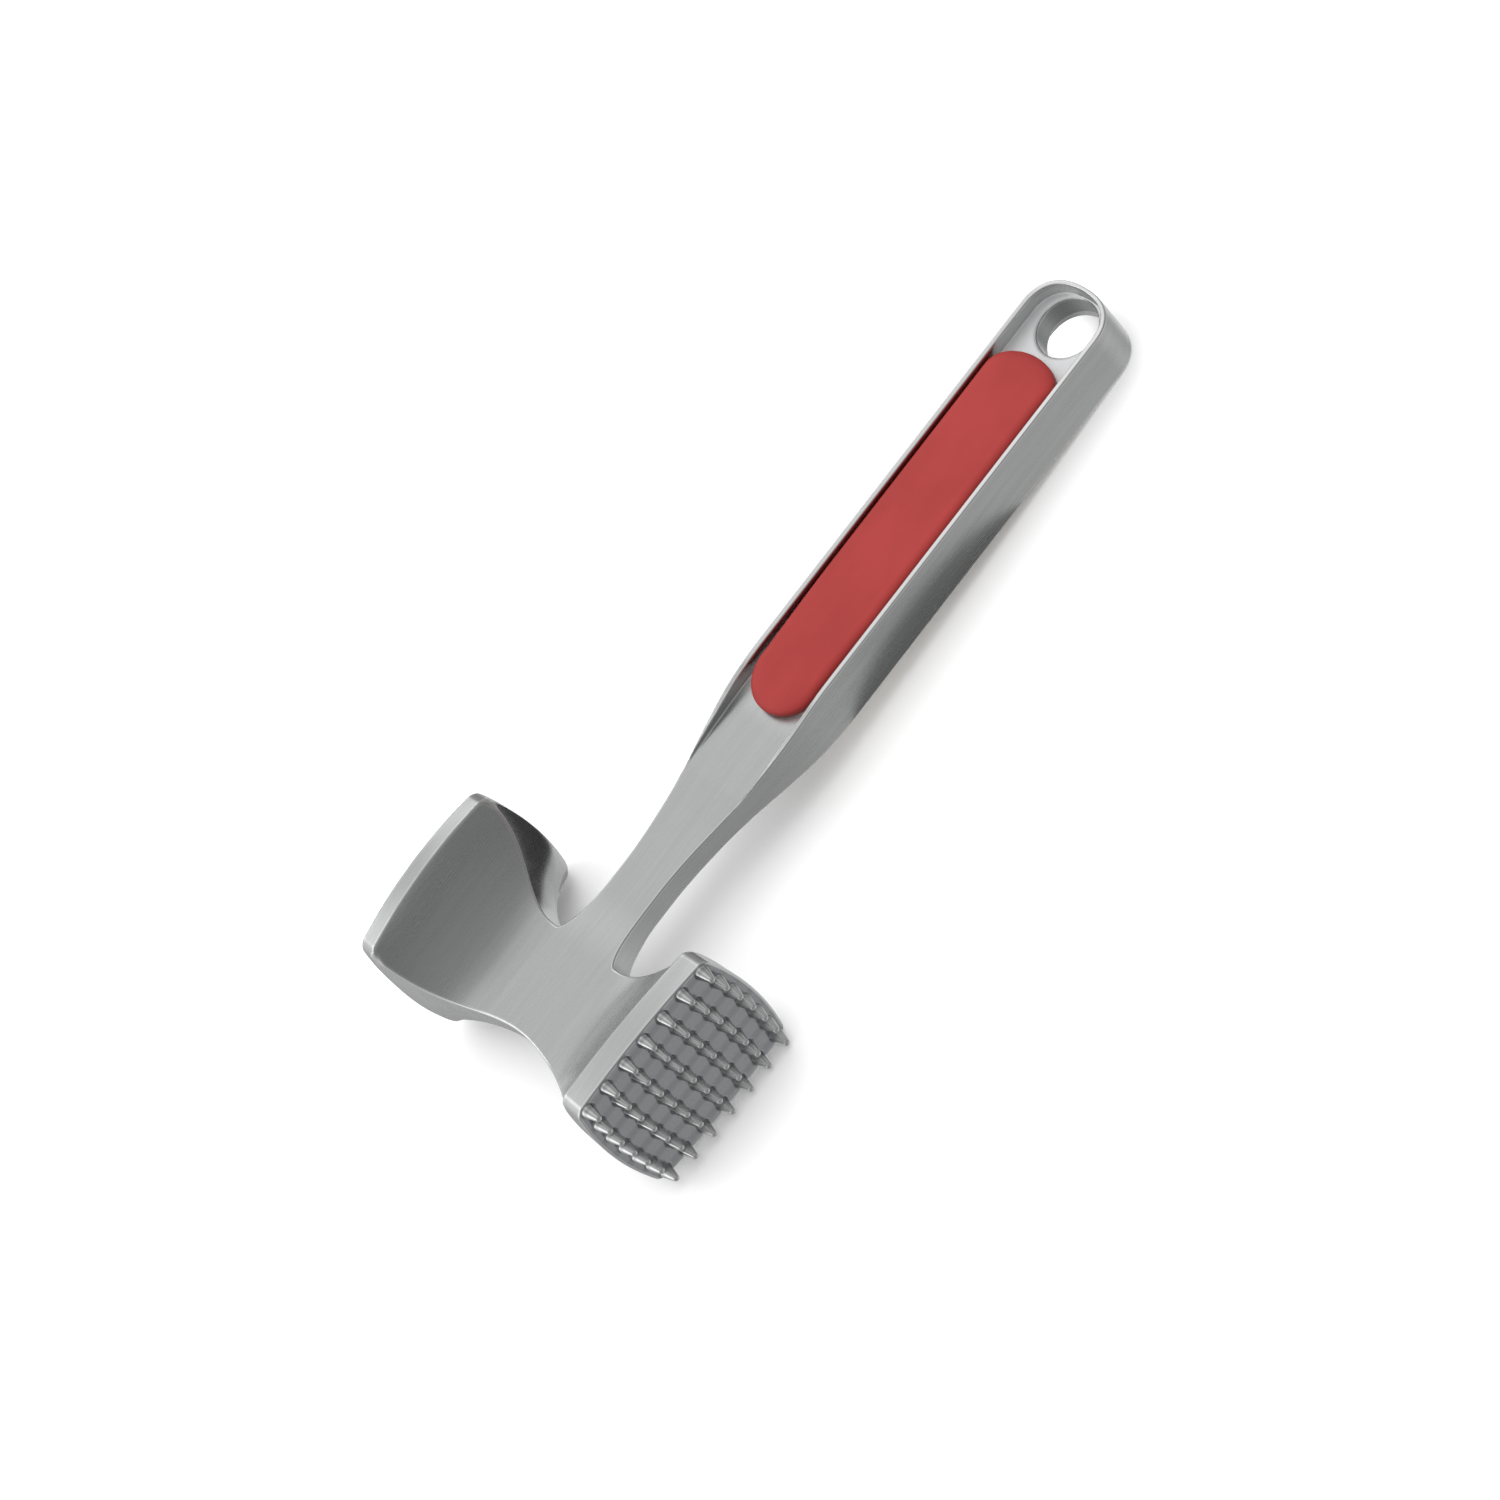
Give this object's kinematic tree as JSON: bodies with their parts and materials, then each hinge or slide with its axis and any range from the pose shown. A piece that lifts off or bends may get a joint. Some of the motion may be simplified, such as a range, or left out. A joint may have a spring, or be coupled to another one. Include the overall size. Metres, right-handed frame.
{
  "type": "meat mallet",
  "caption": "Double-faced meat mallet: a one-piece cast metal head and handle, with a flat face, a toothed face, soft handle inlays and a hanging hole.",
  "frame": {"origin": "middle of the flat face, on the head's long axis and the mid plane of the thickness; the handle's long axis is 46.2 mm away along +X", "axes": "+X through the head towards the toothed face, -X towards the flat face; +Y along the handle towards the hanging hole; +Z out of the front inlay, so the mallet lies on its side"},
  "size_m": [0.0993, 0.2538, 0.0524],
  "materials": {
    "casting": "satin, fine brushing along the handle and across the head flares, slightly polished edges; darker blasted toothed face",
    "front_inlay": "matte red soft elastomer with a very fine moulded grain",
    "rear_inlay": "matte red soft elastomer with a very fine moulded grain",
    "front_adhesive_film": "translucent adhesive film, hidden under the inlay",
    "rear_adhesive_film": "translucent adhesive film, hidden under the inlay"
  },
  "bodies": {
    "root": {"casting": "casting", "front_inlay": "front_inlay", "rear_inlay": "rear_inlay", "front_adhesive_film": "front_adhesive_film", "rear_adhesive_film": "rear_adhesive_film"}
  },
  "joints": []
}
